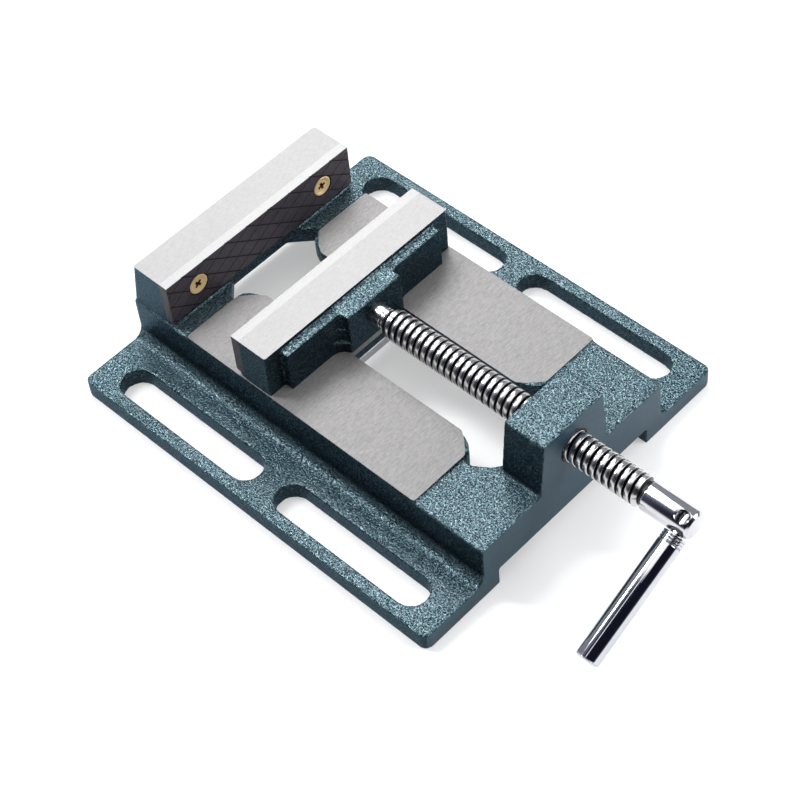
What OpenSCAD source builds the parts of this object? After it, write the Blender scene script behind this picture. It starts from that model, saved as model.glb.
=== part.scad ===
// Drill-press machine vise: cast frame with slotted flanges, fixed jaw and nut block,
// sliding jaw held down by a keep plate, lead screw with plug-in tommy lever.
// Millimetres. X runs along the screw toward the lever, Z is up, z = 0 is the seat.

/* [Base] */
// length of the base along the screw
base_l = 186; // [180:1:200]
// width over the clamping flanges
base_w = 164; // [160:1:180]
// thickness of the clamping flanges
flange_t = 8.5; // [6:0.5:12]
// corner radius of the flanges
corner_r = 3; // [2:0.5:6]
// width of the raised body between the flanges
body_w = 101; // [100:0.5:104]
// height of the painted deck
deck_z = 28.5; // [27.5:0.5:28.5]
// height of the ground slideway pads
pad_z = 29.5; // [29:0.1:30]
// thickness of the slide rails, from pad top down
rail_t = 9; // [7:0.5:10]
// half width of the long opening between the rails
open_hw = 15; // [14:0.5:16]
// half width of the flared ends of the opening
flare_hw = 24; // [20:0.5:26]

/* [Clamping slots] */
// width of each clamping slot
slot_w = 14; // [10:0.5:16]
// length of each slot, end to end
slot_l = 76; // [60:1:80]
// slot centre spacing along the screw
slot_dx = 87; // [82:1:90]
// slot centre spacing across the base
slot_dy = 139; // [134:1:142]

/* [Jaws] */
// width of the jaws
jaw_w = 100; // [90:1:100]
// height of the jaw tops above the seat
jaw_z = 51.2; // [48:0.2:54]
// front face of the fixed jaw plate
fixed_face_x = -69.5; // [-72:0.5:-68]
// opening between the jaw faces as drawn
gap = 36; // [20:0.5:60]
// jaw plate thickness
plate_t = 4; // [3:0.5:5]

/* [Screw] */
// outside diameter of the lead screw thread
thread_d = 12.7; // [10:0.1:14]
// lead of the single-start thread
lead = 3.175; // [2.5:0.005:4]
// height of the screw axis
screw_z = 41; // [40:0.5:42]
// diameter of the plain journal held in the moving jaw
journal_d = 8.5; // [7:0.1:9]
// diameter of the screw's head
head_d = 11.8; // [11:0.1:12.2]
// diameter of the cross holes in the head
cross_d = 5.2; // [4:0.1:6]

/* [Lever] */
// lever grip diameter
grip_d = 9.6; // [8:0.1:11]
// lever tip distance from the screw axis
lever_r = 60.5; // [50:0.5:90]
// angle of the lever below horizontal
lever_a = 26; // [20:1:30]

/* [Hidden] */
$fn = 48;
hl = base_l / 2;
hw = base_w / 2;
bw = body_w / 2;
jw = jaw_w / 2;
rail_z = pad_z - rail_t;         // underside of the rails
wall_in = 42;                    // inner face of the side walls
arch_z = 8.6;                    // underside of the end walls
nut_x = 73.9;                    // back face of the nut block
nut_z = 55.4;                    // top of the nut block
mov_face_x = fixed_face_x + gap; // face of the moving jaw plate
mjx = mov_face_x + plate_t;      // front face of the moving jaw casting
jaw_t = 14.3;                    // casting thickness at the jaw's top
ledge_x = mjx + 18.2;            // back of the ledge behind the jaw
boss_x = mjx + 23;               // back of the screw boss
run = 0.05;                      // running clearance, each side
pad_x0 = -62;
pad_x1 = 59.5;
scr_y = 34.4;                    // jaw plate screw offset
scr_z = 41;                      // jaw plate screw height
pin_x = boss_x - 5.5;
pin_y = 4.45;
bolt_x = boss_x - 12;
bolt_y = 9.5;
keep_z0 = 16;
keep_z1 = rail_z - 0.1;
head_x0 = 127;
head_x1 = 148.5;
hole_x = 144.2;

module xcyl(x0, x1, r, y = 0, z = 0) {
  translate([x0, y, z]) rotate([0, 90, 0]) cylinder(r = r, h = x1 - x0);
}

module box(x0, x1, y0, y1, z0, z1) {
  translate([x0, y0, z0]) cube([x1 - x0, y1 - y0, z1 - z0]);
}

// plan shape of the dog-bone opening between the rails
module opening_2d() {
  polygon([
    [-73.4, -open_hw], [-64.5, -flare_hw], [-62, -flare_hw], [-53, -open_hw],
    [51, -open_hw], [60, -flare_hw], [64, -flare_hw], [70, -20], [nut_x, -open_hw],
    [nut_x, open_hw], [70, 20], [64, flare_hw], [60, flare_hw], [51, open_hw],
    [-53, open_hw], [-62, flare_hw], [-64.5, flare_hw], [-73.4, open_hw]]);
}

module base_plate() {
  r = corner_r;
  box(-hl + r, hl - r, -hw, hw, 0, flange_t);
  box(-hl, hl, -hw + r, hw - r, 0, flange_t);
  for (sx = [-1, 1], sy = [-1, 1])
    translate([sx * (hl - r), sy * (hw - r), 0]) cylinder(r = r, h = flange_t);
}

// concave fillet where the body wall meets the flange
module wall_fillet() {
  f = 5;
  for (s = [-1, 1]) difference() {
    box(-hl, hl, s > 0 ? bw - 0.5 : -bw - f, s > 0 ? bw + f : -bw + 0.5,
      flange_t - 0.5, flange_t + f);
    xcyl(-hl - 1, hl + 1, f, s * (bw + f), flange_t + f);
  }
}

module clamp_slots() {
  for (sx = [-1, 1], sy = [-1, 1]) translate([sx * slot_dx / 2, sy * slot_dy / 2, -1]) {
    e = (slot_l - slot_w) / 2;
    translate([-e, 0, 0]) cylinder(d = slot_w, h = flange_t + 2);
    translate([e, 0, 0]) cylinder(d = slot_w, h = flange_t + 2);
    translate([-e, -slot_w / 2, 0]) cube([2 * e, slot_w, flange_t + 2]);
  }
}

// section across the screw, pushed along X
module x_prism(x0, x1, pts) {
  translate([x0, 0, 0]) rotate([90, 0, 90]) linear_extrude(x1 - x0) polygon(pts);
}

// section along the screw, pushed along Y
module y_prism(y0, y1, pts) {
  translate([0, y1, 0]) rotate([90, 0, 0]) linear_extrude(y1 - y0) polygon(pts);
}

module frame_casting() {
  color([0.2, 0.33, 0.36]) difference() {
    union() {
      base_plate();
      wall_fillet();
      box(-hl, hl, -bw, bw, 0, deck_z);
      // ground slideway pads
      box(pad_x0, pad_x1, -bw, bw, deck_z - 0.5, pad_z);
      // fixed jaw with a sloped back and a lip under its plate
      y_prism(-jw, jw, [[-hl, deck_z - 2], [fixed_face_x - 1, deck_z - 2],
        [fixed_face_x - 1, 31], [fixed_face_x - plate_t, 31],
        [fixed_face_x - plate_t, jaw_z], [-88.5, jaw_z]]);
      // nut block with drafted sides
      x_prism(nut_x, hl, [[-19, arch_z], [19, arch_z], [18.8, deck_z], [16.3, nut_z],
        [-16.3, nut_z], [-18.8, deck_z]]);
    }
    // recess under the rails and the arches through both end walls
    box(-hl + 9, nut_x - 1.5, -wall_in, wall_in, -1, rail_z);
    box(nut_x - 2, hl - 9, 19, wall_in, -1, rail_z);
    box(nut_x - 2, hl - 9, -wall_in, -19, -1, rail_z);
    box(-hl - 1, hl + 1, -wall_in, wall_in, -1, arch_z);
    translate([0, 0, arch_z]) linear_extrude(31 - arch_z) opening_2d();
    clamp_slots();
    xcyl(nut_x - 1, hl + 1, thread_d / 2 + run, 0, screw_z);
    for (s = [-1, 1])
      xcyl(fixed_face_x - plate_t - 12, fixed_face_x + 1, 2.55, s * scr_y, scr_z);
  }
}

// jaw plate in its own frame: face at x = 0, thickness toward -X
module jaw_plate(z0) {
  difference() {
    box(-plate_t, 0, -jw, jw, z0, jaw_z);
    for (s = [-1, 1]) {
      xcyl(-plate_t - 1, 1, 2.6, s * scr_y, scr_z);
      translate([0.01, s * scr_y, scr_z]) rotate([0, -90, 0])
        cylinder(r1 = 4.85, r2 = 2.6, h = 2.75);
    }
  }
}

// countersunk cross-recess screw, face toward +X
module plate_screw(y) {
  translate([0, y, scr_z]) difference() {
    union() {
      translate([-0.15, 0, 0]) rotate([0, -90, 0]) cylinder(r1 = 4.6, r2 = 2.45, h = 2.6);
      xcyl(-14, -2.5, 2.45);
    }
    box(-1.4, 1, -2.2, 2.2, -0.45, 0.45);
    box(-1.4, 1, -0.45, 0.45, -2.2, 2.2);
  }
}

module fixed_jaw_plate() {
  color([0.17, 0.16, 0.18]) translate([fixed_face_x, 0, 0]) jaw_plate(31);
}
module fixed_plate_screw_near() {
  color([0.75, 0.55, 0.25]) translate([fixed_face_x, 0, 0]) plate_screw(-scr_y);
}
module fixed_plate_screw_far() {
  color([0.75, 0.55, 0.25]) translate([fixed_face_x, 0, 0]) plate_screw(scr_y);
}
module movable_jaw_plate() {
  color([0.17, 0.16, 0.18]) translate([mov_face_x, 0, 0]) mirror([1, 0, 0]) jaw_plate(32);
}
module movable_plate_screw_near() {
  color([0.75, 0.55, 0.25]) translate([mov_face_x, 0, 0]) rotate([0, 0, 180])
    plate_screw(scr_y);
}
module movable_plate_screw_far() {
  color([0.75, 0.55, 0.25]) translate([mov_face_x, 0, 0]) rotate([0, 0, 180])
    plate_screw(-scr_y);
}

module movable_jaw_casting() {
  z0 = pad_z + run;
  color([0.2, 0.33, 0.36]) difference() {
    union() {
      // jaw body with a lip under its plate and a chamfered foot
      y_prism(-jw, jw, [[mjx - 1, z0], [mjx - 3, z0 + 2.4], [mjx, z0 + 2.4], [mjx, jaw_z],
        [mjx + jaw_t, jaw_z], [mjx + jaw_t, z0]]);
      box(mjx + 5, ledge_x, -42, 42, z0, 49);
      box(mjx + 5, boss_x, -14.5, 14.5, z0, 49.5);
      // fillets from the ledge into the boss, wider towards the foot
      for (s = [-1, 1], t = [[7, z0, 35], [4.5, 34.9, 41.5], [2.5, 41.4, 48]]) {
        f = t[0];
        difference() {
          box(ledge_x - 1, ledge_x + min(f, 4.5), s > 0 ? 14 : -14.5 - f,
            s > 0 ? 14.5 + f : -14, t[1], t[2]);
          translate([ledge_x + f, s * (14.5 + f), t[1] - 1]) cylinder(r = f, h = t[2] - t[1] + 2);
        }
      }
      // tongue that runs between the rails
      box(mjx + 2.5, boss_x - 1.5, -open_hw + run, open_hw - run, keep_z1, z0 + 1);
    }
    // screw bore, closed at the jaw end
    xcyl(boss_x - 17.6, boss_x + 1, journal_d / 2 + run, 0, screw_z);
    for (s = [-1, 1]) {
      translate([pin_x, s * pin_y, keep_z1 - 1]) cylinder(r = 1.51, h = 28);
      translate([bolt_x, s * bolt_y, keep_z1 - 1]) cylinder(r = 3.03, h = 15.5);
      xcyl(mjx - 4, mjx + 12, 2.55, s * scr_y, scr_z);
    }
  }
}

module keep_plate() {
  color([0.35, 0.36, 0.38]) difference() {
    box(mjx + 2.5, boss_x - 1.5, -23, 23, keep_z0, keep_z1);
    for (s = [-1, 1])
      translate([bolt_x, s * bolt_y, keep_z0 - 1]) cylinder(r = 3.2, h = 8);
  }
}

module keep_bolt(s) {
  color([0.55, 0.56, 0.58]) translate([bolt_x, s * bolt_y, 0]) {
    translate([0, 0, keep_z0 - 1.6 - 4]) cylinder(r = 5.77, h = 4, $fn = 6);
    translate([0, 0, keep_z0 - 2]) cylinder(r = 3, h = 19);
  }
}
module keep_bolt_near() { keep_bolt(-1); }
module keep_bolt_far() { keep_bolt(1); }

module spring_washer(s) {
  color([0.5, 0.5, 0.52]) translate([bolt_x, s * bolt_y, keep_z0 - 1.6]) difference() {
    cylinder(r = 5.5, h = 1.6);
    translate([0, 0, -1]) cylinder(r = 3.1, h = 4);
    translate([0, -0.4, -1]) cube([8, 0.8, 4]);
  }
}
module spring_washer_near() { spring_washer(-1); }
module spring_washer_far() { spring_washer(1); }

module retaining_pin(s) {
  color([0.6, 0.6, 0.62]) translate([pin_x, s * pin_y, keep_z1 + 0.05])
    cylinder(r = 1.5, h = 26);
}
module retaining_pin_near() { retaining_pin(-1); }
module retaining_pin_far() { retaining_pin(1); }

module lead_screw() {
  j0 = boss_x - 17.5;
  t0 = 1;
  rj = journal_d / 2;
  ro = thread_d / 2;
  ri = ro - 1.6;
  rh = head_d / 2;
  n = floor((head_x0 - 2 - t0) / lead);
  color([0.72, 0.73, 0.75]) translate([0, 0, screw_z]) difference() {
    rotate([0, 90, 0]) rotate_extrude() polygon(concat(
      [[0, j0], [rj - 0.5, j0], [rj, j0 + 0.5], [rj, pin_x - 1.7], [2.9, pin_x - 1.7],
       [2.9, pin_x + 1.7], [rj, pin_x + 1.7], [rj, t0]],
      [for (i = [0:n - 1], k = [0:3]) [k == 1 || k == 2 ? ro : ri,
        t0 + (i + [0, 0.18, 0.56, 0.74][k]) * lead]],
      [[ri, head_x0], [rh - 0.4, head_x0], [rh, head_x0 + 0.4], [rh, head_x1 - 1],
       [rh - 1, head_x1], [0, head_x1]]));
    for (a = [0, 90]) translate([hole_x, 0, 0]) rotate([90 + lever_a + a, 0, 0])
      cylinder(d = cross_d, h = 30, center = true);
  }
}

// places a piece on the lever's axis, its z measured from the screw axis
module on_lever() {
  translate([hole_x, 0, screw_z]) rotate([90 + lever_a, 0, 0]) children();
}

module ring(r1, r2, z0, z1) {
  translate([0, 0, z0]) difference() {
    cylinder(r = r2, h = z1 - z0);
    translate([0, 0, -1]) cylinder(r = r1, h = z1 - z0 + 2);
  }
}

module lever_spigot() {
  color([0.75, 0.76, 0.78]) on_lever() translate([0, 0, -5])
    cylinder(d = cross_d - 0.1, h = 50);
}
module lever_collar() {
  rb = cross_d / 2;
  rg = grip_d / 2;
  color([0.8, 0.8, 0.82]) on_lever() rotate_extrude() polygon([
    [rb, 6.3], [rg - 0.3, 6.3], [rg, 6.6], [rg, 7.2], [rg - 0.4, 7.3], [rg - 0.4, 7.5],
    [rg, 7.6], [rg, 8.2], [rg - 0.4, 8.3], [rg - 0.4, 8.5], [rg, 8.6], [rg, 9.2],
    [rg - 0.4, 9.3], [rg - 0.4, 9.5], [rg, 9.6], [rg, 10], [rb, 10]]);
}
module lever_grip() {
  color([0.7, 0.72, 0.76]) on_lever() ring(cross_d / 2, grip_d / 2, 10, lever_r - 1);
}
module lever_end_plug() {
  rg = grip_d / 2;
  rb = cross_d / 2;
  color([0.8, 0.8, 0.82]) on_lever() rotate_extrude() polygon([
    [0, 46], [rb - 0.02, 46], [rb - 0.02, lever_r - 1], [rg - 0.05, lever_r - 1],
    [rg - 0.15, lever_r - 0.5], [rg - 0.8, lever_r], [0, lever_r]]);
}

frame_casting();
fixed_jaw_plate();
fixed_plate_screw_near();
fixed_plate_screw_far();
movable_jaw_casting();
movable_jaw_plate();
movable_plate_screw_near();
movable_plate_screw_far();
keep_plate();
keep_bolt_near();
keep_bolt_far();
spring_washer_near();
spring_washer_far();
retaining_pin_near();
retaining_pin_far();
lead_screw();
lever_spigot();
lever_collar();
lever_grip();
lever_end_plug();
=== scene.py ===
import math
import bpy
import bmesh
from mathutils import Vector, Matrix

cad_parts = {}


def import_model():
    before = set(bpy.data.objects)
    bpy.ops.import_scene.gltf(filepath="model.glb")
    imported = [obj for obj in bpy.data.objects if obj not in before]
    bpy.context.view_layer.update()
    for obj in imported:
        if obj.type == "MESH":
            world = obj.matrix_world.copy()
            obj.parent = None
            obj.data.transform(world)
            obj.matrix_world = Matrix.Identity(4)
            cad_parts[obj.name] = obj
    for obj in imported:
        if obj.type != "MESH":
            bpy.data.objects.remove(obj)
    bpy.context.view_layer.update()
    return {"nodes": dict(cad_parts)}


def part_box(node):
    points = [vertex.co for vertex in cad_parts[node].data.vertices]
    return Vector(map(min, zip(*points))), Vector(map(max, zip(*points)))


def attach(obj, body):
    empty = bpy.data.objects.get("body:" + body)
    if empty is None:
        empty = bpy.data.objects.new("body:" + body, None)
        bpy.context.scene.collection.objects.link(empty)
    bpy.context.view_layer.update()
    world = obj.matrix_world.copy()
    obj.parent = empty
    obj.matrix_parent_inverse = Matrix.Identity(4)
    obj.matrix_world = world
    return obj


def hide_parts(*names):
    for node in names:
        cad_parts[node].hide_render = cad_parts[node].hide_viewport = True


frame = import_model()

MM = 0.001
NODE = frame["nodes"]
scene = bpy.context.scene
scene.view_settings.view_transform = "Standard"

# ---------------------------------------------------------------- dimensions
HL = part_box("frame_casting")[1].x  # half of the casting's length
FACE_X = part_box("fixed_jaw_plate")[1].x
MFACE_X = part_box("movable_jaw_plate")[0].x
JAW_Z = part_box("fixed_jaw_plate")[1].z
SCREW_Z = 41 * MM  # height of the lead screw's axis and of the plate screws
LEAD = 3.175 * MM  # thread lead
HOLE_X = 144.2 * MM  # where the lever's cross hole sits in the screw head
LEVER_A = math.radians(26)  # angle of the lever below horizontal
SCR_Y = 34.4 * MM  # plate screws' offset from the middle
# in millimetres, for the casting and plate builders
PAD_TOP = 29.5  # ground slideway
JAW_TOP = 51.2  # ground jaw tops
NUT_BORE_R = 6.4
BOSS_BORE_R = 4.3
PLATE_TAP_R = 2.55  # tapped holes for the plate screws
BOLT_TAP_R = 3.05  # tapped holes for the keep plate's bolts
PIN_HOLE_R = 1.53


# ---------------------------------------------------------------- node helpers
class Mat:
    """A small builder for one procedural material."""

    def __init__(self, name, **principled):
        self.m = bpy.data.materials.new(name)
        self.m.use_nodes = True
        self.t = self.m.node_tree
        self.p = self.t.nodes["Principled BSDF"]
        for k, v in principled.items():
            self.p.inputs[k.replace("_", " ")].default_value = v
        self.co = self.t.nodes.new("ShaderNodeTexCoord").outputs["Object"]

    def node(self, kind, **kw):
        n = self.t.nodes.new(kind)
        for k, v in kw.items():
            setattr(n, k, v)
        return n

    def link(self, a, b):
        self.t.links.new(a, b)

    def scaled(self, sx, sy, sz, rot=(0, 0, 0)):
        n = self.node("ShaderNodeMapping")
        n.inputs["Rotation"].default_value = rot
        n.inputs["Scale"].default_value = (sx, sy, sz)
        self.link(self.co, n.inputs["Vector"])
        return n.outputs["Vector"]

    def noise(self, vec, scale, detail=3.0, rough=0.55, dist=0.0):
        n = self.node("ShaderNodeTexNoise")
        n.inputs["Scale"].default_value = scale
        n.inputs["Detail"].default_value = detail
        n.inputs["Roughness"].default_value = rough
        n.inputs["Distortion"].default_value = dist
        self.link(vec, n.inputs["Vector"])
        return n.outputs["Fac"]

    def voronoi(self, vec, scale):
        n = self.node("ShaderNodeTexVoronoi", feature="SMOOTH_F1")
        n.inputs["Scale"].default_value = scale
        n.inputs["Smoothness"].default_value = 0.6
        self.link(vec, n.inputs["Vector"])
        return n.outputs["Distance"]

    def ramp(self, fac, stops):
        n = self.node("ShaderNodeValToRGB")
        e = n.color_ramp.elements
        while len(e) < len(stops):
            e.new(0.5)
        for el, (pos, col) in zip(e, stops):
            el.position = pos
            el.color = (*col, 1) if len(col) == 3 else col
        self.link(fac, n.inputs["Fac"])
        return n.outputs["Color"]

    def grey(self, fac, a, b, p0=0.3, p1=0.7):
        n = self.node("ShaderNodeMapRange")
        n.inputs["From Min"].default_value = p0
        n.inputs["From Max"].default_value = p1
        n.inputs["To Min"].default_value = a
        n.inputs["To Max"].default_value = b
        self.link(fac, n.inputs["Value"])
        return n.outputs["Result"]

    def math(self, op, a, b):
        n = self.node("ShaderNodeMath", operation=op)
        for i, v in enumerate((a, b)):
            if isinstance(v, (int, float)):
                n.inputs[i].default_value = v
            else:
                self.link(v, n.inputs[i])
        return n.outputs["Value"]

    def mix(self, fac, a, b):
        n = self.node("ShaderNodeMix", data_type="RGBA")
        for sock, v in ((n.inputs[0], fac), (n.inputs[6], a), (n.inputs[7], b)):
            if isinstance(v, (int, float)):
                sock.default_value = v
            elif isinstance(v, tuple):
                sock.default_value = (*v, 1)
            else:
                self.link(v, sock)
        return n.outputs[2]

    def bump(self, height, strength, distance):
        n = self.node("ShaderNodeBump")
        n.inputs["Strength"].default_value = strength
        n.inputs["Distance"].default_value = distance
        self.link(height, n.inputs["Height"])
        return n.outputs["Normal"]

    def level(self, lo, hi):
        """0 on steep faces, 1 on faces that look up."""
        g = self.node("ShaderNodeNewGeometry")
        x = self.node("ShaderNodeSeparateXYZ")
        self.link(g.outputs["Normal"], x.inputs[0])
        return self.grey(x.outputs["Z"], 0.0, 1.0, lo, hi)

    def to(self, socket, out):
        self.link(out, self.p.inputs[socket])


def make_hammertone():
    """Hammered enamel, with painted shade: the base colour is darkened on steep faces and kept lighter on faces
    that look up.
    """
    m = Mat("hammertone_enamel", Metallic=0.7, Roughness=0.25)
    m.p.inputs["Specular IOR Level"].default_value = 0.25
    m.p.inputs["Specular Tint"].default_value = (0.3, 0.5, 0.62, 1)
    m.p.inputs["Coat Weight"].default_value = 0.05
    m.p.inputs["Coat Roughness"].default_value = 0.12
    v = m.scaled(1, 1, 1)
    n1 = m.noise(v, 1500, 2.0, 0.55, 0.4)
    cells = m.voronoi(v, 1350)
    big = m.noise(v, 50, 2.0)
    h = m.math("ADD", m.math("MULTIPLY", n1, 0.9), m.math("MULTIPLY", cells, 0.5))
    col = m.ramp(h, [(0.5, (0.003, 0.009, 0.013)), (0.59, (0.028, 0.055, 0.068)),
                     (0.7, (0.072, 0.119, 0.137)), (0.88, (0.19, 0.265, 0.29))])
    tone = m.mix(m.grey(big, 0.0, 0.4), col, (0.03, 0.057, 0.073))
    # darker copies of the enamel colours: painted shade for walls and other steep faces
    steep_painted_shade = m.ramp(h, [(0.5, (0.004, 0.008, 0.011)), (0.7, (0.013, 0.026, 0.034)),
                       (0.9, (0.055, 0.085, 0.098))])
    # painted shade: the slope mask from level() swaps in the darker colours on steep faces
    m.to("Base Color", m.mix(m.level(0.08, 0.5), steep_painted_shade, m.mix(0.2, col, tone)))
    m.to("Roughness", m.grey(n1, 0.32, 0.2))
    b = m.bump(h, 1.0, 0.0004)
    m.to("Normal", b)
    return m.m


def make_smooth_enamel():
    m = Mat("smooth_enamel", Metallic=0.1, Roughness=0.42)
    m.p.inputs["Specular IOR Level"].default_value = 0.2
    m.p.inputs["Specular Tint"].default_value = (0.45, 0.65, 0.78, 1)
    m.p.inputs["Coat Weight"].default_value = 0.03
    v = m.scaled(1, 1, 1)
    n = m.noise(v, 260, 3, 0.5)
    big = m.noise(v, 30, 2)
    m.to("Base Color", m.mix(m.grey(n, 0.0, 0.3), (0.028, 0.056, 0.077), (0.04, 0.076, 0.1)))
    m.to("Roughness", m.grey(big, 0.36, 0.5))
    m.to("Normal", m.bump(n, 0.25, 0.0002))
    return m.m


def make_ground(name, tone, rough=0.36, axis="y", lay=1.0):
    """Surface-ground iron: fine scratches along one axis over a soft mottle."""
    m = Mat(name, Metallic=0.25, Roughness=rough)
    s = {"y": (2600, 330, 2600), "x": (330, 2600, 2600)}[axis]
    a = m.noise(m.scaled(*s), 1.0, 4, 0.75)
    b = m.noise(m.scaled(1500, 700, 1500, (0, 0, 0.22)), 1.0, 4, 0.7)
    c = m.noise(m.scaled(1, 1, 1), 60, 3, 0.6)
    sc = m.math("ADD", m.math("MULTIPLY", a, 0.65), m.math("MULTIPLY", b, 0.35))
    lo_c = tuple(t * (1 - 0.36 * lay) for t in tone)
    hi_c = tuple(min(1, t * (1 + 0.26 * lay)) for t in tone)
    col = m.ramp(sc, [(0.33, lo_c), (0.52, tone), (0.7, hi_c)])
    m.to("Base Color", m.mix(m.grey(c, 0.0, 0.22), col, tuple(t * 0.86 for t in tone)))
    m.to("Roughness", m.grey(sc, rough + 0.1, rough - 0.06))
    m.to("Normal", m.bump(sc, 0.35 * lay, 0.00006))
    return m.m


def make_black(name, k):
    m = Mat(name, Metallic=0.1, Roughness=0.5)
    m.p.inputs["Specular IOR Level"].default_value = 0.25
    v = m.scaled(1, 1, 1)
    n = m.noise(v, 900, 4, 0.6)
    w = m.noise(v, 70, 3, 0.6)
    col = m.ramp(n, [(0.3, (0.045 * k, 0.038 * k, 0.05 * k)), (0.7, (0.088 * k, 0.076 * k, 0.096 * k))])
    m.to("Base Color", m.mix(m.grey(w, 0.0, 0.35, 0.45, 0.75), col, (0.1 * k, 0.088 * k, 0.108 * k)))
    m.to("Roughness", m.grey(n, 0.42, 0.6))
    m.to("Normal", m.bump(n, 0.3, 0.00008))
    return m.m


def make_metal(name, tone, rough, spread=0.08, bump=0.1, turned=True, freq=900, metallic=1.0):
    """Turned or drawn bright metal: fine rings round the X axis, or grain when not turned."""
    m = Mat(name, Metallic=metallic, Roughness=rough)
    if turned:
        v = m.scaled(freq * 2.2, 9, 9)
    else:
        v = m.scaled(freq, freq, freq)
    a = m.noise(v, 1.0, 3, 0.6)
    c = m.noise(m.scaled(1, 1, 1), 120, 4, 0.65)
    m.to("Base Color", m.mix(m.grey(c, 0.0, 0.5, 0.4, 0.75), tone, tuple(t * 0.8 for t in tone)))
    m.to("Roughness", m.grey(a, rough + spread, max(0.03, rough - spread * 0.5)))
    m.to("Normal", m.bump(a, bump, 0.00005))
    return m.m


HAMMER = make_hammertone()
ENAMEL = make_smooth_enamel()
GROUND = make_ground("ground_slideway", (0.213, 0.208, 0.206), 0.5)
GROUND_TOP = make_ground("ground_jaw_top", (0.335, 0.33, 0.327), 0.5, "y", 0.4)
PLATE_TOP = make_ground("ground_plate_edge", (0.39, 0.387, 0.383), 0.5, "y", 0.3)
BLACK = make_black("black_oxide", 0.8)
GROOVE_SHADE = make_black("groove_painted_shade", 0.05)
SCORE_SHADE = make_black("score_painted_shade", 0.45)
BRASS = make_metal("brass", (0.95, 0.7, 0.36), 0.3, 0.08, 0.2, False, 900, 0.4)
BRASS_RECESS_SHADE = make_metal("brass_recess_shade", (0.16, 0.1, 0.05), 0.5, 0.1, 0.2, False)
SCREW_STEEL = make_metal("turned_steel", (0.6, 0.585, 0.588), 0.24, 0.05, 0.06)
JOURNAL_STEEL = make_metal("ground_journal", (0.62, 0.61, 0.615), 0.24, 0.03, 0.02)
HEAD_STEEL = make_metal("polished_steel", (0.62, 0.62, 0.645), 0.13, 0.05, 0.05)
CHROME = make_metal("chrome_plate", (0.58, 0.59, 0.625), 0.07, 0.03, 0.03, False, 300)
PLAIN = make_metal("plain_steel", (0.42, 0.43, 0.45), 0.4, 0.12, 0.3, False)
ZINC = make_metal("zinc_steel", (0.6, 0.61, 0.63), 0.32, 0.1, 0.2, False)
ROOT_SHADE_STEEL = make_metal("thread_root_shade", (0.05, 0.05, 0.055), 0.4, 0.1, 0.1)
# very dark iron for the bores and tapped holes: painted shade inside the holes
BORE_SHADE = make_metal("bore_painted_shade", (0.1, 0.1, 0.1), 0.5, 0.1, 0.3, True)
DARK_STEEL = make_metal("dark_steel", (0.16, 0.16, 0.17), 0.45, 0.12, 0.3, False)


# ---------------------------------------------------------------- mesh helpers
def new_obj(name, bm, mats):
    me = bpy.data.meshes.new(name)
    bm.to_mesh(me)
    bm.free()
    for m in mats:
        me.materials.append(m)
    ob = bpy.data.objects.new(name, me)
    scene.collection.objects.link(ob)
    return ob


def smooth(ob):
    for p in ob.data.polygons:
        p.use_smooth = True


def edge_angle(e):
    if len(e.link_faces) != 2:
        return 0.0
    return math.degrees(e.calc_face_angle(0.0))


def boolean(ob, cutter):
    """Cuts a closed cutter out of a plate or a screw, exactly."""
    m = ob.modifiers.new("cut", "BOOLEAN")
    m.operation = "DIFFERENCE"
    m.solver = "EXACT"
    m.object = cutter
    bpy.context.view_layer.objects.active = ob
    for o in bpy.context.selected_objects:
        o.select_set(False)
    ob.select_set(True)
    bpy.ops.object.modifier_apply(modifier=m.name)
    bpy.data.objects.remove(cutter)


def revolve(bm, pts, seg=64, mat=0):
    """Revolves (x, r) points about the X axis into bm; ends on the axis are closed."""
    rings = []
    for x, r in pts:
        if r < 1e-7:
            rings.append([bm.verts.new((x, 0, 0))])
        else:
            rings.append([bm.verts.new((x, r * math.cos(2 * math.pi * k / seg),
                                        r * math.sin(2 * math.pi * k / seg))) for k in range(seg)])
    for a, b in zip(rings, rings[1:]):
        for k in range(seg):
            q = [a[k % len(a)], a[(k + 1) % len(a)], b[(k + 1) % len(b)], b[k % len(b)]]
            q = [v for i, v in enumerate(q) if v not in q[:i]]
            if len(q) >= 3:
                f = bm.faces.new(q)
                f.material_index = mat
    return rings


def rounded(pts, r=0.25, n=3):
    """Rounds the inner corners of an (x, r) outline given in millimetres."""
    out = [pts[0]]
    for a, b, c in zip(pts, pts[1:], pts[2:]):
        va = Vector((a[0] - b[0], a[1] - b[1]))
        vc = Vector((c[0] - b[0], c[1] - b[1]))
        d = min(r, va.length * 0.45, vc.length * 0.45)
        if va.length < 1e-6 or vc.length < 1e-6 or d < 0.01:
            out.append(b)
            continue
        p0 = Vector(b) + va.normalized() * d
        p1 = Vector(b) + vc.normalized() * d
        for i in range(n + 1):
            t = i / n
            q = p0 * (1 - t) ** 2 + Vector(b) * 2 * t * (1 - t) + p1 * t ** 2
            out.append((q.x, q.y))
    out.append(pts[-1])
    return out


def finish_piece(ob, body, node):
    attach(ob, body)
    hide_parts(node)


# ---------------------------------------------------------------- castings
def bake(ob):
    """Applies an object's modifiers to its mesh."""
    dg = bpy.context.evaluated_depsgraph_get()
    me = bpy.data.meshes.new_from_object(ob.evaluated_get(dg), depsgraph=dg)
    ob.modifiers.clear()
    old = ob.data
    ob.data = me
    bpy.data.meshes.remove(old)


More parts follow.
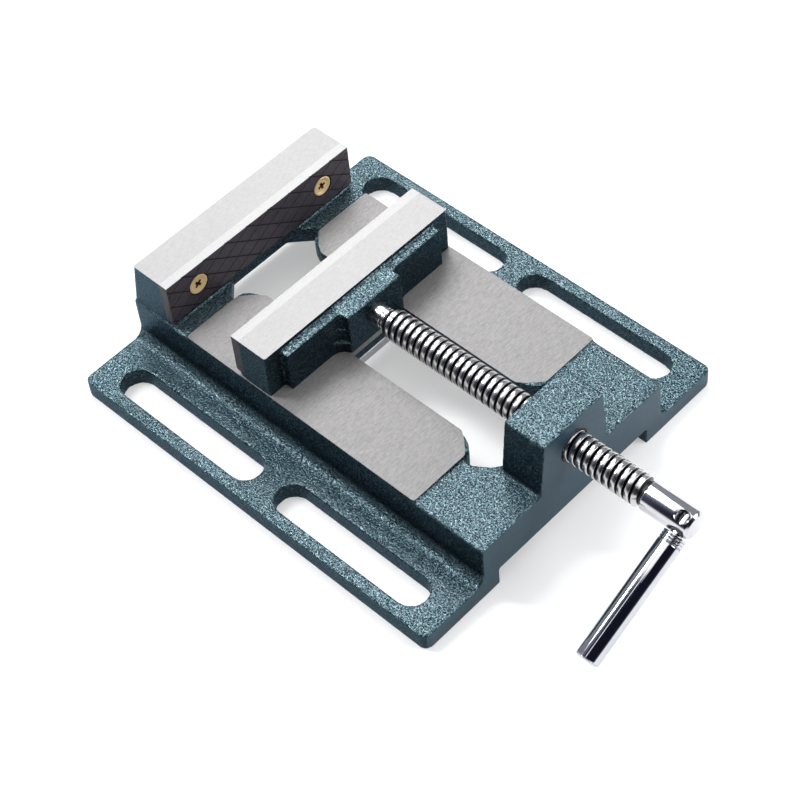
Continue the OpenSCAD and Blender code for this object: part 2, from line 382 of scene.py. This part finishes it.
def prism(bm, pts, axis, lo, hi, mat=0):
    """A closed prism: pts in millimetres in the two other axes, from lo to hi along axis."""
    order = {"x": lambda p, t: (t, p[0], p[1]), "y": lambda p, t: (p[0], t, p[1]),
             "z": lambda p, t: (p[0], p[1], t)}[axis]
    ra = [bm.verts.new(Vector(order(p, lo)) * MM) for p in pts]
    rb = [bm.verts.new(Vector(order(p, hi)) * MM) for p in pts]
    fs = [bm.faces.new(ra), bm.faces.new(rb[::-1])]
    n = len(pts)
    for i in range(n):
        fs.append(bm.faces.new((ra[i], rb[i], rb[(i + 1) % n], ra[(i + 1) % n])))
    for f in fs:
        f.material_index = mat
    bmesh.ops.recalc_face_normals(bm, faces=fs)


def loft(bm, levels):
    """A closed shape through outlines of as many points each, stacked along Z: (z, points)."""
    rings = [[bm.verts.new(Vector((x, y, z)) * MM) for x, y in pts] for z, pts in levels]
    fs = [bm.faces.new(rings[0]), bm.faces.new(rings[-1][::-1])]
    n = len(rings[0])
    for a, b in zip(rings, rings[1:]):
        for i in range(n):
            fs.append(bm.faces.new((a[i], b[i], b[(i + 1) % n], a[(i + 1) % n])))
    bmesh.ops.recalc_face_normals(bm, faces=fs)


def block(bm, x0, x1, y0, y1, z0, z1, mat=0):
    prism(bm, [(x0, y0), (x1, y0), (x1, y1), (x0, y1)], "z", z0, z1, mat)


def drill(bm, p, d, prof, mat=0, seg=48):
    """A turned cutter along direction d from point p (mm); prof holds (distance, radius)."""
    tmp = bmesh.new()
    revolve(tmp, [(x * MM, r * MM) for x, r in prof], seg, mat)
    bmesh.ops.recalc_face_normals(tmp, faces=tmp.faces)
    turn = Vector(d).to_track_quat("X", "Z").to_matrix().to_4x4()
    tmp.transform(Matrix.Translation(Vector(p) * MM) @ turn)
    me = bpy.data.meshes.new("tmp")
    tmp.to_mesh(me)
    tmp.free()
    bm.from_mesh(me)
    bpy.data.meshes.remove(me)


def hole(r, depth):
    """The outline of a plain drill of radius r, for drill(); it starts 3 mm outside."""
    return [(-3, 0), (-3, r), (depth, r), (depth, 0)]


def cut(ob, draw, *args):
    """Takes one machining pass: cuts away the closed shape that draw(bm, *args) makes."""
    bm = bmesh.new()
    draw(bm, *args)
    tool = new_obj("tool", bm, list(ob.data.materials))
    m = ob.modifiers.new("cut", "BOOLEAN")
    m.operation = "DIFFERENCE"
    m.solver = "MANIFOLD"
    m.object = tool
    bake(ob)
    bpy.data.objects.remove(tool)


def rough(name, node, add, voxel, passes, mats):
    """The rough casting: the CAD solid with machining stock added, its edges rounded off."""
    bm = bmesh.new()
    bm.from_mesh(NODE[node].data)
    bmesh.ops.remove_doubles(bm, verts=bm.verts, dist=2e-6)
    for f in bm.faces:
        f.material_index = 0
    add(bm)
    ob = new_obj(name, bm, mats)
    r = ob.modifiers.new("skin", "REMESH")
    r.mode = "VOXEL"
    r.voxel_size = voxel * MM
    s = ob.modifiers.new("round", "SMOOTH")
    s.factor = 0.5
    s.iterations = passes
    bake(ob)
    return ob


def clean(ob, limit, recolour=None):
    """Merges flat regions, marks the machined edges and sets the normals."""
    bm = bmesh.new()
    bm.from_mesh(ob.data)
    bmesh.ops.remove_doubles(bm, verts=bm.verts, dist=1e-6)
    cell = []
    for f in bm.faces:
        if recolour:
            recolour(f)
        c = f.calc_center_median()
        cell.append((int(c.x // 0.014), int(c.y // 0.014), int(c.z // 0.014)))
    bm.faces.index_update()
    for e in bm.edges:
        fs = e.link_faces
        e.seam = len(fs) == 2 and cell[fs[0].index] != cell[fs[1].index]
    bmesh.ops.dissolve_limit(bm, angle_limit=math.radians(limit), verts=bm.verts, edges=bm.edges,
                             delimit={"MATERIAL", "SEAM"})
    for e in bm.edges:
        e.seam = False
    for e in bm.edges:
        e.smooth = edge_angle(e) < 32
    for f in bm.faces:
        f.smooth = True
    bm.to_mesh(ob.data)
    bm.free()
    n = ob.modifiers.new("normals", "WEIGHTED_NORMAL")
    n.keep_sharp = True
    n.weight = 60


# outlines in millimetres, on the +Y side: a slideway pad, and a cast nub at a pad's corner
PAD = [(-62, 50.5), (-62, 24), (-53, 15), (51, 15), (59.5, 23.5), (59.5, 50.5)]
NUB = [(51.5, 15.7), (54, 16.4), (57, 17.9), (59.4, 20.2), (60, 22.6), (59.4, 24.4), (55, 24)]
# material 4 is the painted shade that the drilled bores and holes take
CAST_MATS = [HAMMER, GROUND, GROUND_TOP, ENAMEL, BORE_SHADE]


def build_frame():
    def add(bm):
        for s in (-1, 1):
            prism(bm, [(x, s * y) for x, y in PAD], "z", 27, 30.8)
        block(bm, -88.5, -73.2, -50, 50, 48, 52.6)
        block(bm, -75.5, -72.3, -50, 50, 30.5, 52.6)
        block(bm, -74.5, -70.5, -50, 50, 29.5, 32)
        block(bm, 74.2, 93, -8, 8, 33, 49)
        # cast nubs left at the pads' corners beside the opening
        for s in (-1, 1):
            for o, t in ((0, 1), (-2.3, -1)):
                prism(bm, [(o + t * x, s * y) for x, y in NUB], "z", 20.6, 29.3)

    ob = rough("vise_frame", "frame_casting", add, 0.55, 6, CAST_MATS)
    cut(ob, block, -63.4, 61, -60, 60, PAD_TOP, 40, 1)
    cut(ob, block, -73.5, -60, -60, 60, 31, 60, 3)
    cut(ob, block, -100, -70, -60, 60, JAW_TOP, 60, 2)
    c = NUT_BORE_R
    bore = [(60, 0), (60, c + 1.2), (74.4, c + 1.2), (75.2, c), (92.1, c), (93.1, c + 1.0),
            (99, c + 1.0), (99, 0)]
    cut(ob, drill, (0, 0, 41), (1, 0, 0), bore, 4)
    for s in (-1, 1):
        cut(ob, drill, (-73, s * 34.4, 41), (-1, 0, 0), hole(PLATE_TAP_R, 14), 4, 24)

    def recolour(f):
        if f.material_index == 0 and f.normal.x > 0.75 and f.calc_center_median().x > HL - 0.0015:
            f.material_index = 3

    clean(ob, 0.5, recolour)
    finish_piece(ob, "frame", "frame_casting")
    return ob


def build_movable():
    def add(bm):
        block(bm, -29.5, -15.2, -50, 50, 48, 52.6)
        block(bm, -30.7, -27.5, -50, 50, 32.5, 52.6)
        block(bm, -29.0, -15.2, -50, 50, 28.2, 31)
        block(bm, -24.5, -11.3, -42, 42, 28.2, 31)
        block(bm, -26, -6.5, -14.5, 14.5, 26, 31)
        block(bm, -24.5, -6.5, -6, 6, 35, 47)
        block(bm, -26.5, -8.5, -14, 14, 21, 46)
        # the fillets from the ledge into the boss widen towards the foot
        quarter = [math.pi + math.pi / 2 * k / 10 for k in range(11)]
        for s in (-1, 1):
            levels = []
            for z, r in ((28.2, 4.7), (35, 4.7), (48, 2.5), (49.4, 2.4)):
                arc = [(-11.3 + r + r * math.cos(a), s * (14.5 + r + r * math.sin(a))) for a in quarter]
                levels.append((z, [(-12.5, s * 13.5), (-12.5, s * (14.5 + r))] + arc + [(-11.3 + r, s * 13.5)]))
            loft(bm, levels)

    ob = rough("sliding_jaw", "movable_jaw_casting", add, 0.42, 5, CAST_MATS)
    cut(ob, block, -40, -10, -60, 60, JAW_TOP, 60, 2)
    cut(ob, block, -40, -29.5, -60, 60, 31.95, 60, 3)
    cut(ob, block, -40, 0, 14.95, 60, 20, 29.55, 1)
    cut(ob, block, -40, 0, -60, -14.95, 20, 29.55, 1)
    cut(ob, block, -40, -27, -16, 16, 15, 29.55, 1)
    cut(ob, block, -8, 0, -16, 16, 15, 29.55, 1)
    c = BOSS_BORE_R
    bore = [(-24.1, 0), (-24.1, c), (-7.0, c), (-6.4, c + 0.6), (2, c + 0.6), (2, 0)]
    cut(ob, drill, (0, 0, 41), (1, 0, 0), bore, 4)
    for s in (-1, 1):
        cut(ob, drill, (-12, s * 4.45, 20), (0, 0, 1), hole(PIN_HOLE_R, 26.7), 4, 24)
        cut(ob, drill, (-18.5, s * 9.5, 20), (0, 0, 1), hole(BOLT_TAP_R, 14.8), 4, 24)
        cut(ob, drill, (-30, s * 34.4, 41), (1, 0, 0), hole(PLATE_TAP_R, 13), 4, 24)
    clean(ob, 0.5)
    finish_piece(ob, "movable_jaw", "movable_jaw_casting")
    return ob


# ---------------------------------------------------------------- jaw plates
def build_plate(name, node, body, x_face, z0, z1, out):
    """Hardened plate with two crossing sets of V grooves cut in its face. out is +1 or -1."""
    hw = 50 * MM
    t = 4 * MM
    bm = bmesh.new()
    vs = [bm.verts.new((0, y, z)) for y, z in ((-hw, z0), (hw, z0), (hw, z1), (-hw, z1))]
    bm.faces.new(vs)
    cen = Vector((0, 0, 41.1 * MM))
    lines = []
    for ang, pitch, off, depth, half in ((-35, 6.7, 0.66, 0.34, 0.27), (30, 5.9, 0.93, 0.16, 0.3)):
        a = math.radians(ang)
        n = Vector((0, -math.sin(a), math.cos(a)))
        for i in range(-12, 13):
            d = (i + off) * pitch * MM
            if abs(d) < hw * abs(n.y) + 11 * MM * n.z:
                lines.append((n, d, depth * MM, half * MM))
    for n, d, depth, half in lines:
        for o in (-half, 0.0, half):
            bmesh.ops.bisect_plane(bm, geom=list(bm.verts) + list(bm.edges) + list(bm.faces),
                                   dist=1e-6, plane_co=cen + n * (d + o), plane_no=n)
    front = list(bm.faces)
    ext = bmesh.ops.extrude_face_region(bm, geom=front)
    back = [v for v in ext["geom"] if isinstance(v, bmesh.types.BMVert)]
    back_set = set(back)
    for v in back:
        v.co.x -= out * t
    for v in bm.verts:
        if v in back_set:
            continue
        p = v.co - cen
        v.co.x -= out * max([0] + [g * (1 - abs(p.dot(n) - d) / h) for n, d, g, h in lines])
    bm.normal_update()
    back_faces = [f for f in bm.faces if all(v in back_set for v in f.verts)]
    bmesh.ops.dissolve_faces(bm, faces=back_faces)
    bmesh.ops.recalc_face_normals(bm, faces=bm.faces)
    for v in bm.verts:
        v.co.x += x_face
    for f in bm.faces:
        c = f.calc_center_median()
        p = c - cen
        g = [h for n, d, k, h in lines if abs(p.dot(n) - d) < h]
        # painted shade: the deeper grooves take the near-black material 2, the shallower grooves and the
        # plate's ends the darker grey material 3
        f.material_index = 1 if f.normal.z > 0.95 else 3 if abs(f.normal.y) > 0.95 else \
            0 if abs(c.x - x_face) > 0.001 or not g else 2 if min(g) < 0.28 * MM else 3
    ob = new_obj(name, bm, [BLACK, PLATE_TOP, GROOVE_SHADE, SCORE_SHADE])
    for s in (-1, 1):
        cb = bmesh.new()
        pts = rounded([(0.6, 0), (0.6, 5.0), (0.0, 5.0), (-2.6, 2.6), (-5, 2.6), (-5, 0)], 0.05, 1)
        # the countersink's faces take material 2, a near-black painted shade ring round each screw
        revolve(cb, [(x * MM, r * MM) for x, r in pts], 48, 2)
        bmesh.ops.recalc_face_normals(cb, faces=cb.faces)
        tool = new_obj("cut", cb, [BLACK, PLATE_TOP, GROOVE_SHADE, SCORE_SHADE])
        tool.data.transform(Matrix.Translation((x_face, s * SCR_Y, SCREW_Z))
                           @ Matrix.Scale(out, 4, (1, 0, 0)))
        if out < 0:
            tool.data.flip_normals()
        boolean(ob, tool)
    for p in ob.data.polygons:
        p.use_smooth = False
    b = ob.modifiers.new("round", "BEVEL")
    b.width = 0.25 * MM
    b.segments = 2
    b.limit_method = "ANGLE"
    b.angle_limit = math.radians(60)
    finish_piece(ob, body, node)
    return ob


def build_plate_screw(name, node, body, x_face, y, out):
    """Brass countersunk screw with a raised rim and a cross recess, whose faces are painted dark brown as
    shade.
    """
    prof = rounded([(-0.55, 0), (-0.5, 2.0), (-0.45, 2.9), (-0.2, 3.4), (-0.05, 4.0), (-0.2, 4.55),
                    (-2.75, 2.4), (-3.2, 2.4), (-13.6, 2.4), (-13.9, 1.9), (-13.9, 0)], 0.3, 4)
    bm = bmesh.new()
    revolve(bm, [(x * MM, r * MM) for x, r in prof], 48)
    bmesh.ops.recalc_face_normals(bm, faces=bm.faces)
    ob = new_obj(name, bm, [BRASS, BRASS_RECESS_SHADE])
    turn = 0.74 if y < 0 else 0.25
    for k in range(2):
        cb = bmesh.new()
        a = Matrix.Rotation(turn + k * math.pi / 2, 4, "X")
        # tapered wing of the recess
        top, bot = (0.5, 2.5, 0.75), (-2.1, 0.8, 0.4)
        v = []
        for x, l, w in (top, bot):
            v += [cb.verts.new(a @ Vector((x * MM, sy * l * MM, sz * w * MM)))
                  for sy, sz in ((-1, -1), (1, -1), (1, 1), (-1, 1))]
        for q in ((3, 2, 1, 0), (4, 5, 6, 7), (0, 1, 5, 4), (1, 2, 6, 5), (2, 3, 7, 6), (3, 0, 4, 7)):
            cb.faces.new([v[i] for i in q])
        bmesh.ops.recalc_face_normals(cb, faces=cb.faces)
        # the recess faces take material 1, dark brass: painted shade inside the cross recess
        for f in cb.faces:
            f.material_index = 1
        boolean(ob, new_obj("cut", cb, [BRASS, BRASS_RECESS_SHADE]))
    ob.data.transform(Matrix.Translation((x_face, y, SCREW_Z)) @ (
        Matrix.Identity(4) if out > 0 else Matrix.Rotation(math.pi, 4, "Z")))
    smooth(ob)
    b = ob.modifiers.new("round", "BEVEL")
    b.width = 0.08 * MM
    b.segments = 2
    b.limit_method = "ANGLE"
    b.angle_limit = math.radians(40)
    ob.modifiers.new("normals", "WEIGHTED_NORMAL")
    finish_piece(ob, body, node)
    return ob


# ---------------------------------------------------------------- lead screw
def build_screw():
    seg = 72
    t0, t1 = 1.0, 126.6
    ro, ri = 6.35, 4.75
    lead = LEAD / MM
    # one turn of the thread, as (fraction of lead, radius), corners softened
    turn = [(0.00, ri + 0.1), (0.03, ri), (0.15, ri), (0.18, ri + 0.1), (0.265, ro - 0.22),
            (0.28, ro - 0.06), (0.31, ro), (0.88, ro), (0.905, ro - 0.06), (0.92, ro - 0.22)]
    n_turn = int((t1 - t0) / lead) + 2
    rows = []
    j0 = -24.0
    pin_x = -12.0
    ring = 0.22
    shaft = rounded([(j0, 0), (j0, 3.7), (j0 + 0.55, 4.25), (pin_x - 1.7, 4.25), (pin_x - 1.7, 2.9),
                     (pin_x + 1.7, 2.9), (pin_x + 1.7, 4.25), (t0 - 2.6, 4.25), (t0 - 2.5, 4.25 - ring),
                     (t0 - 2.2, 4.25 - ring), (t0 - 2.1, 4.25), (t0 - 1.3, 4.25), (t0 - 1.2, 4.25 - ring),
                     (t0 - 0.9, 4.25 - ring), (t0 - 0.8, 4.25), (t0 - 0.3, 4.35), (t0, ri)], 0.12, 3)
    for x, r in shaft:
        rows.append([(x, r)] * seg)
    for i in range(-1, n_turn):
        for fr, r in turn:
            row = []
            for k in range(seg):
                x = t0 + (i + fr + k / seg) * lead
                xc = min(max(x, t0), t1)
                fade = min(1.0, max(0.0, (xc - t0) / 2.2), max(0.0, (t1 - xc) / 1.6))
                fade = fade * fade * (3 - 2 * fade)
                row.append((xc, ri + (r - ri) * fade if 0 < fade else ri))
            rows.append(row)
    head = rounded([(t1, ri), (127.2, ri), (127.3, 5.55), (127.75, 5.9), (147.4, 5.9), (148.5, 4.9),
                    (148.5, 0)], 0.3, 4)
    n_head = len(rows)
    for x, r in head:
        rows.append([(x, r)] * seg)
    bm = bmesh.new()
    grid = []
    for row in rows:
        if row[0][1] < 1e-6:
            v = bm.verts.new((row[0][0] * MM, 0, 0))
            grid.append([v] * seg)
        else:
            grid.append([bm.verts.new((x * MM, r * MM * math.cos(2 * math.pi * k / seg),
                                       r * MM * math.sin(2 * math.pi * k / seg)))
                         for k, (x, r) in enumerate(row)])
    n_rows = len(rows)
    for i in range(n_rows - 1):
        a, b = grid[i], grid[i + 1]
        for k in range(seg):
            k2 = (k + 1) % seg
            if n_head > i >= len(shaft) - 1 and k2 == 0:
                # the helix steps on by one turn where the angle wraps
                a2 = grid[min(i + len(turn), n_head)][0] if i >= len(shaft) else a[0]
                b2 = grid[min(i + 1 + len(turn), n_head)][0]
            else:
                a2, b2 = a[k2], b[k2]
            q = []
            for v in (a[k], a2, b2, b[k]):
                if v not in q:
                    q.append(v)
            if len(q) >= 3:
                try:
                    bm.faces.new(q)
                except ValueError:
                    pass
    bmesh.ops.remove_doubles(bm, verts=bm.verts, dist=4e-6)
    bmesh.ops.dissolve_degenerate(bm, dist=2e-6, edges=bm.edges)
    bmesh.ops.recalc_face_normals(bm, faces=bm.faces)
    # faces below the crest (roots and flanks) get material 2, near-black steel: painted shade in the thread's
    # grooves
    for f in bm.faces:
        c = f.calc_center_median()
        top = max(math.hypot(v.co.y, v.co.z) for v in f.verts)
        f.material_index = 1 if c.x > (t1 + 0.5) * MM else 3 if c.x < t0 * MM else \
            0 if top > (ro - 0.1) * MM else 2
    for v in bm.verts:
        v.co.z += SCREW_Z
    ob = new_obj("trapezoidal_screw", bm, [SCREW_STEEL, HEAD_STEEL, ROOT_SHADE_STEEL, JOURNAL_STEEL])
    for k in (0, 1):
        cb = bmesh.new()
        pts = [(-9, 0), (-9, 5.9), (-5.35, 2.75), (-5.1, 2.62), (5.1, 2.62), (5.35, 2.75),
               (9, 5.9), (9, 0)]
        revolve(cb, [(x * MM, r * MM) for x, r in pts], 40)
        bmesh.ops.recalc_face_normals(cb, faces=cb.faces)
        tool = new_obj("cut", cb, [SCREW_STEEL, HEAD_STEEL, ROOT_SHADE_STEEL, JOURNAL_STEEL])
        for p in tool.data.polygons:
            p.material_index = 1
        # the drill axis lies in the YZ plane, square to the lever for the second hole
        d = Vector((0, -math.cos(LEVER_A), -math.sin(LEVER_A))) if k == 0 else \
            Vector((0, -math.sin(LEVER_A), math.cos(LEVER_A)))
        rot = d.to_track_quat("X", "Z").to_matrix().to_4x4()
        tool.data.transform(Matrix.Translation((HOLE_X, 0, SCREW_Z)) @ rot)
        boolean(ob, tool)
    smooth(ob)
    ob.data.set_sharp_from_angle(angle=math.radians(38))
    finish_piece(ob, "screw", "lead_screw")
    return ob


# ---------------------------------------------------------------- lever
def lever_matrix():
    d = Vector((0, -math.cos(LEVER_A), -math.sin(LEVER_A)))
    return Matrix.Translation((HOLE_X, 0, SCREW_Z)) @ d.to_track_quat("X", "Z").to_matrix().to_4x4()


def build_lever_part(name, node, pts, mat, round_r=0.2, seg=72):
    bm = bmesh.new()
    closed = pts[0][1] > 1e-6
    if closed:
        pts = pts + [pts[0]]
    prof = rounded(pts, round_r, 4)
    revolve(bm, [(x * MM, r * MM) for x, r in prof], seg)
    bmesh.ops.remove_doubles(bm, verts=bm.verts, dist=1e-6)
    bmesh.ops.recalc_face_normals(bm, faces=bm.faces)
    ob = new_obj(name, bm, [mat])
    ob.data.transform(lever_matrix())
    smooth(ob)
    ob.data.set_sharp_from_angle(angle=math.radians(50))
    finish_piece(ob, "lever", node)
    return ob


def build_lever():
    rb, rg = 2.6, 4.8
    build_lever_part("tommy_spigot", "lever_spigot",
                     [(-5, 0), (-5, 1.9), (-4.4, 2.55), (45, 2.55), (45, 0)], HEAD_STEEL,
                     0.25)
    g = 0.34
    pts = [(6.3, rb), (6.3, rg - 0.25)]
    x = 6.55
    pts.append((x, rg))
    for i in range(3):
        pts += [(x + 0.72, rg), (x + 0.86, rg - g), (x + 1.0, rg - g), (x + 1.14, rg)]
        x += 1.14
    pts += [(10.0, rg), (10.0, rb)]
    build_lever_part("tommy_collar", "lever_collar", pts, CHROME, 0.08)
    build_lever_part("tommy_grip", "lever_grip",
                     [(10.02, rb), (10.02, rg - 0.28), (10.35, rg), (59.2, rg), (59.5, rg - 0.12),
                      (59.5, rb)], CHROME, 0.2)
    build_lever_part("tommy_plug", "lever_end_plug",
                     [(46, 0), (46, 2.55), (59.5, 2.55), (59.5, rg - 0.1), (59.8, rg - 0.2),
                      (60.5, rg - 1.1), (60.5, 0)], CHROME, 0.35)


# ---------------------------------------------------------------- hidden hardware
def dress(node, mat, width):
    ob = NODE[node]
    ob.data.materials.clear()
    ob.data.materials.append(mat)
    w = ob.modifiers.new("weld", "WELD")
    w.merge_threshold = 2e-6
    b = ob.modifiers.new("round", "BEVEL")
    b.width = width
    b.segments = 2
    b.limit_method = "ANGLE"
    b.angle_limit = math.radians(35)
    ob.modifiers.new("normals", "WEIGHTED_NORMAL")
    for p in ob.data.polygons:
        p.use_smooth = True


build_frame()
build_movable()
build_plate("fixed_plate", "fixed_jaw_plate", "frame", FACE_X, 31 * MM, JAW_Z, 1)
build_plate("sliding_plate", "movable_jaw_plate", "movable_jaw", MFACE_X, 32 * MM, JAW_Z, -1)
for tag, s in (("near", -1), ("far", 1)):
    build_plate_screw("fixed_screw_" + tag, "fixed_plate_screw_" + tag, "frame", FACE_X, s * SCR_Y, 1)
    build_plate_screw("sliding_screw_" + tag, "movable_plate_screw_" + tag, "movable_jaw",
                      MFACE_X, s * SCR_Y, -1)
build_screw()
build_lever()
dress("keep_plate", PLAIN, 0.5 * MM)
for tag in ("near", "far"):
    dress("keep_bolt_" + tag, ZINC, 0.3 * MM)
    dress("spring_washer_" + tag, DARK_STEEL, 0.2 * MM)
    dress("retaining_pin_" + tag, ZINC, 0.2 * MM)


# ---------------------------------------------------------------- stage, light, camera
def floor():
    bm = bmesh.new()
    bmesh.ops.create_grid(bm, x_segments=2, y_segments=2, size=6.0)
    m = Mat("floor_paper", Roughness=0.9)
    m.p.inputs["Specular IOR Level"].default_value = 0.1
    n = m.noise(m.scaled(1, 1, 1), 3.0, 2, 0.5)
    m.to("Base Color", m.mix(m.grey(n, 0.0, 0.3), (0.66, 0.66, 0.66), (0.64, 0.64, 0.64)))
    m.p.inputs["Emission Color"].default_value = (1, 1, 1, 1)
    m.p.inputs["Emission Strength"].default_value = 0.36
    ob = new_obj("floor", bm, [m.m])


def area(name, pos, target, size, power, col=(1, 1, 1), size_y=None):
    d = bpy.data.lights.new(name, "AREA")
    d.shape = "RECTANGLE"
    d.size = size
    d.size_y = size_y or size
    d.energy = power
    d.color = col
    ob = bpy.data.objects.new(name, d)
    scene.collection.objects.link(ob)
    ob.location = pos
    ob.rotation_euler = (Vector(target) - Vector(pos)).to_track_quat("-Z", "Y").to_euler()
    return ob


def world():
    """A soft studio: bright behind and above the vise, dark on the camera's side."""
    w = bpy.data.worlds.new("studio")
    scene.world = w
    w.use_nodes = True
    t = w.node_tree
    co = t.nodes.new("ShaderNodeTexCoord")
    dot = t.nodes.new("ShaderNodeVectorMath")
    dot.operation = "DOT_PRODUCT"
    dot.inputs[1].default_value = (0.76, -0.62, 0.2)
    t.links.new(co.outputs["Generated"], dot.inputs[0])
    ramp = t.nodes.new("ShaderNodeValToRGB")
    e = ramp.color_ramp.elements
    stops = ((0.0, (0.42, 0.43, 0.45)), (0.4, (0.26, 0.28, 0.33)), (0.55, (0.19, 0.21, 0.28)),
             (0.66, (0.012, 0.013, 0.03)), (1.0, (0.01, 0.011, 0.02)))
    for k, (pos, col) in enumerate(stops):
        el = e[k] if k < 2 else e.new(pos)
        el.position = pos
        el.color = (*col, 1)
    half = t.nodes.new("ShaderNodeMapRange")
    half.inputs["From Min"].default_value = -1
    t.links.new(dot.outputs["Value"], half.inputs["Value"])
    t.links.new(half.outputs["Result"], ramp.inputs["Fac"])
    sep = t.nodes.new("ShaderNodeSeparateXYZ")
    t.links.new(co.outputs["Generated"], sep.inputs[0])
    up = t.nodes.new("ShaderNodeMapRange")
    up.inputs["From Min"].default_value = 0.04
    up.inputs["From Max"].default_value = 0.2
    t.links.new(sep.outputs["Z"], up.inputs["Value"])
    mix = t.nodes.new("ShaderNodeMix")
    mix.data_type = "RGBA"
    mix.inputs[6].default_value = (0.15, 0.155, 0.17, 1)
    t.links.new(up.outputs["Result"], mix.inputs[0])
    t.links.new(ramp.outputs["Color"], mix.inputs[7])
    t.links.new(mix.outputs[2], t.nodes["Background"].inputs["Color"])


floor()
world()
area("overhead", (0.0, 0.0, 1.0), (0, 0, 0), 0.9, 3.4, (1, 1, 1), 0.8)
area("front_key", (0.67, 0.47, 0.48), (0, 0, 0.02), 0.42, 4.5)
area("back_softbox", (-0.46, 0.42, 0.78), (0, 0, 0.03), 0.42, 6.0)
area("left_strip", (-0.47, -0.3, 0.84), (0, 0, 0.03), 0.12, 5.0, (1, 1, 1), 0.4)
area("thin_strip", (0.13, -0.46, 1.0), (0.14, 0, 0.03), 0.07, 0.15, (1, 1, 1), 0.3)
ceiling = area("ceiling", (0, 0, 3.5), (0, 0, 0), 7.5, 75)
ceiling.visible_glossy = False
ceiling.data.use_shadow = False

cam = bpy.data.cameras.new("camera")
cam.lens = 95.15
cam.sensor_width = 36.0
cam.clip_start = 0.01
cam_ob = bpy.data.objects.new("camera", cam)
scene.collection.objects.link(cam_ob)
right = Vector((0.725148, 0.685150, -0.068771))
up = Vector((-0.505068, 0.597105, 0.623195))
back = Vector((0.468046, -0.417175, 0.779037))
rot = Matrix((right, up, back)).transposed().to_4x4()
cam_ob.matrix_world = Matrix.Translation((0.396486, -0.351975, 0.650414)) @ rot
scene.camera = cam_ob
